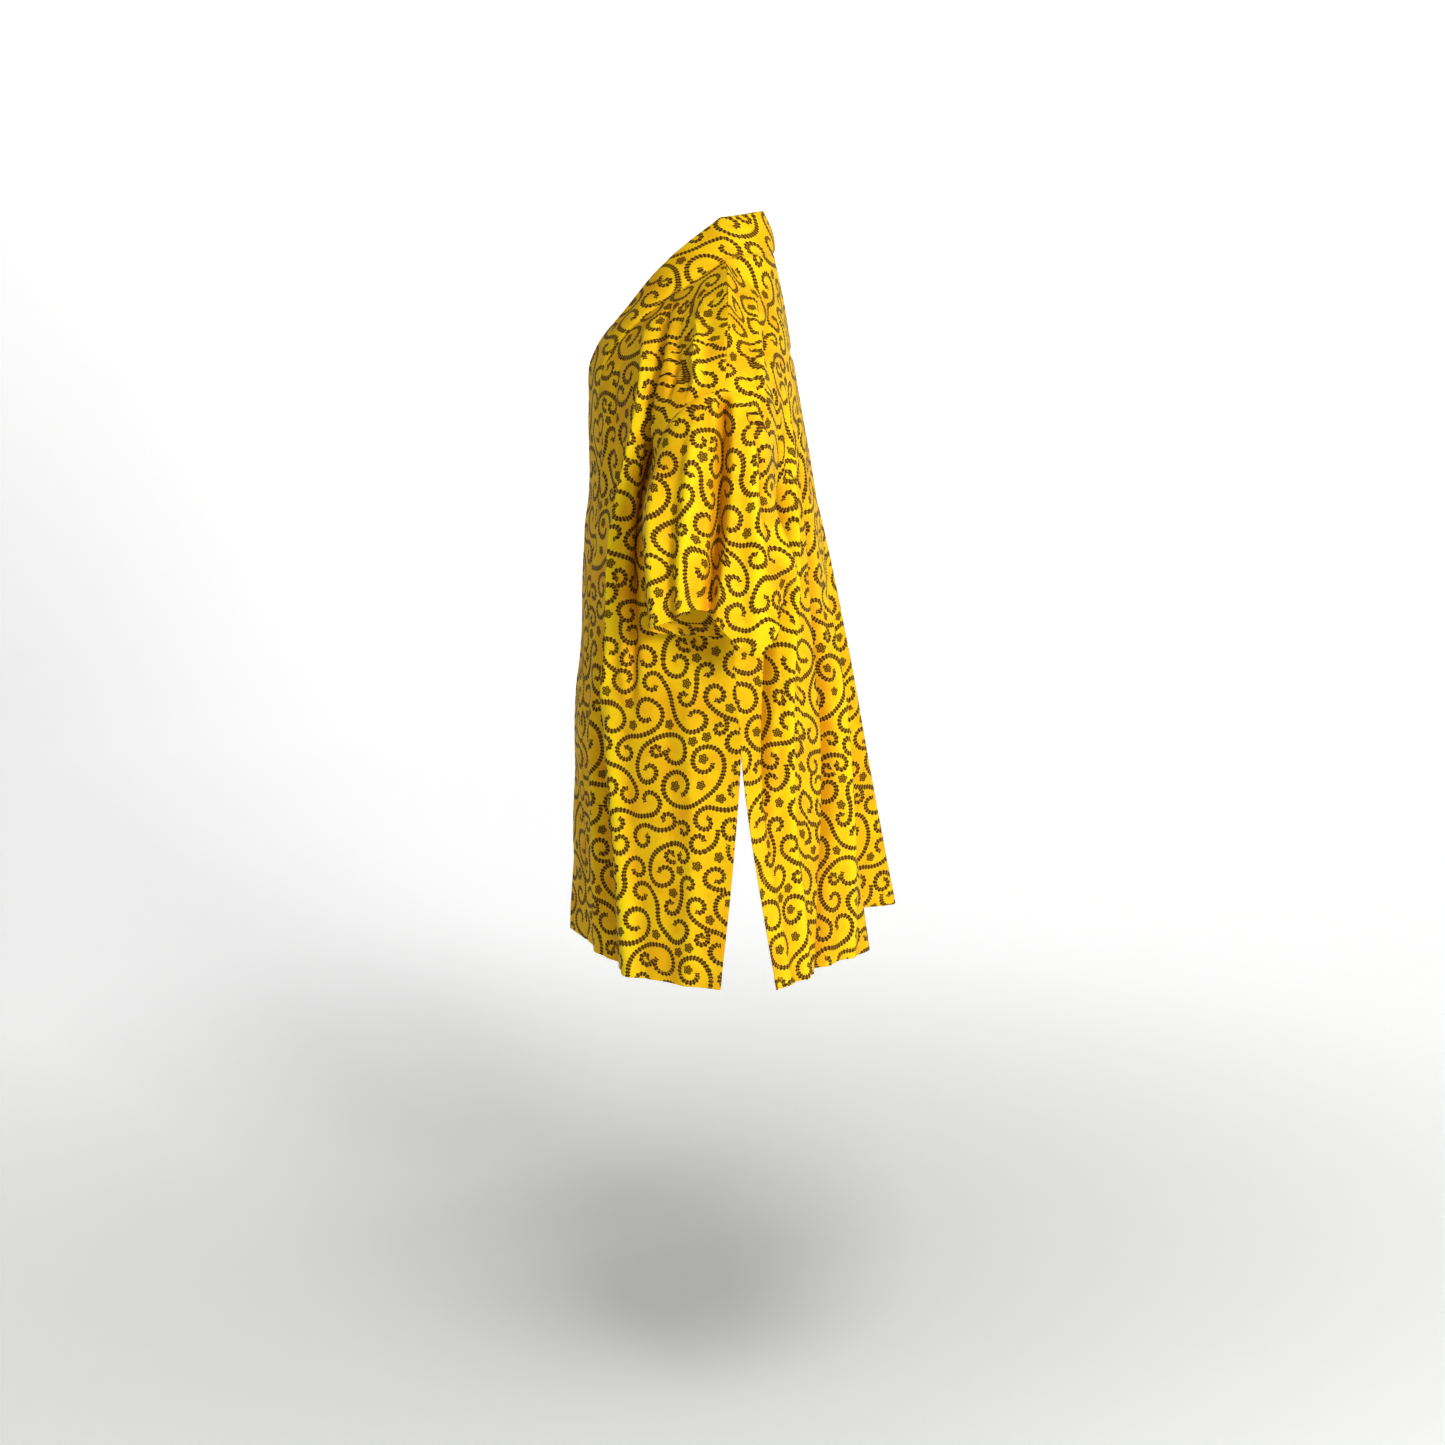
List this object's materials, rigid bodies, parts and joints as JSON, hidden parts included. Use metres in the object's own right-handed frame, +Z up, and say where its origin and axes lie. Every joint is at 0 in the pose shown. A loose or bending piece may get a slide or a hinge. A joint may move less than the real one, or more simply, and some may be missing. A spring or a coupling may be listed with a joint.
{
  "type": "worn open-front kimono jacket",
  "caption": "Open-front kimono jacket as worn, with wide sleeves, a neckband, side vents and a flared back, in a yellow scroll-printed cotton.",
  "frame": {"origin": "middle of the wearer's neck at shoulder height, where the jacket hangs from the shoulders", "axes": "+Z up, the front faces -Y, the wearer's left is +X"},
  "size_m": [0.6188, 0.4612, 0.9766],
  "materials": {
    "back_cloth": "yellow printed cotton, matt with a slight sheen",
    "front_cloth": "yellow printed cotton, matt with a slight sheen",
    "sleeve_cloth": "yellow printed cotton, matt with a slight sheen",
    "band_cloth": "folded yellow printed cotton, matt"
  },
  "bodies": {
    "root": {"back_panel": "back_cloth", "front_left": "front_cloth", "front_right": "front_cloth", "sleeve_left": "sleeve_cloth", "sleeve_right": "sleeve_cloth", "neckband": "band_cloth"}
  },
  "joints": []
}
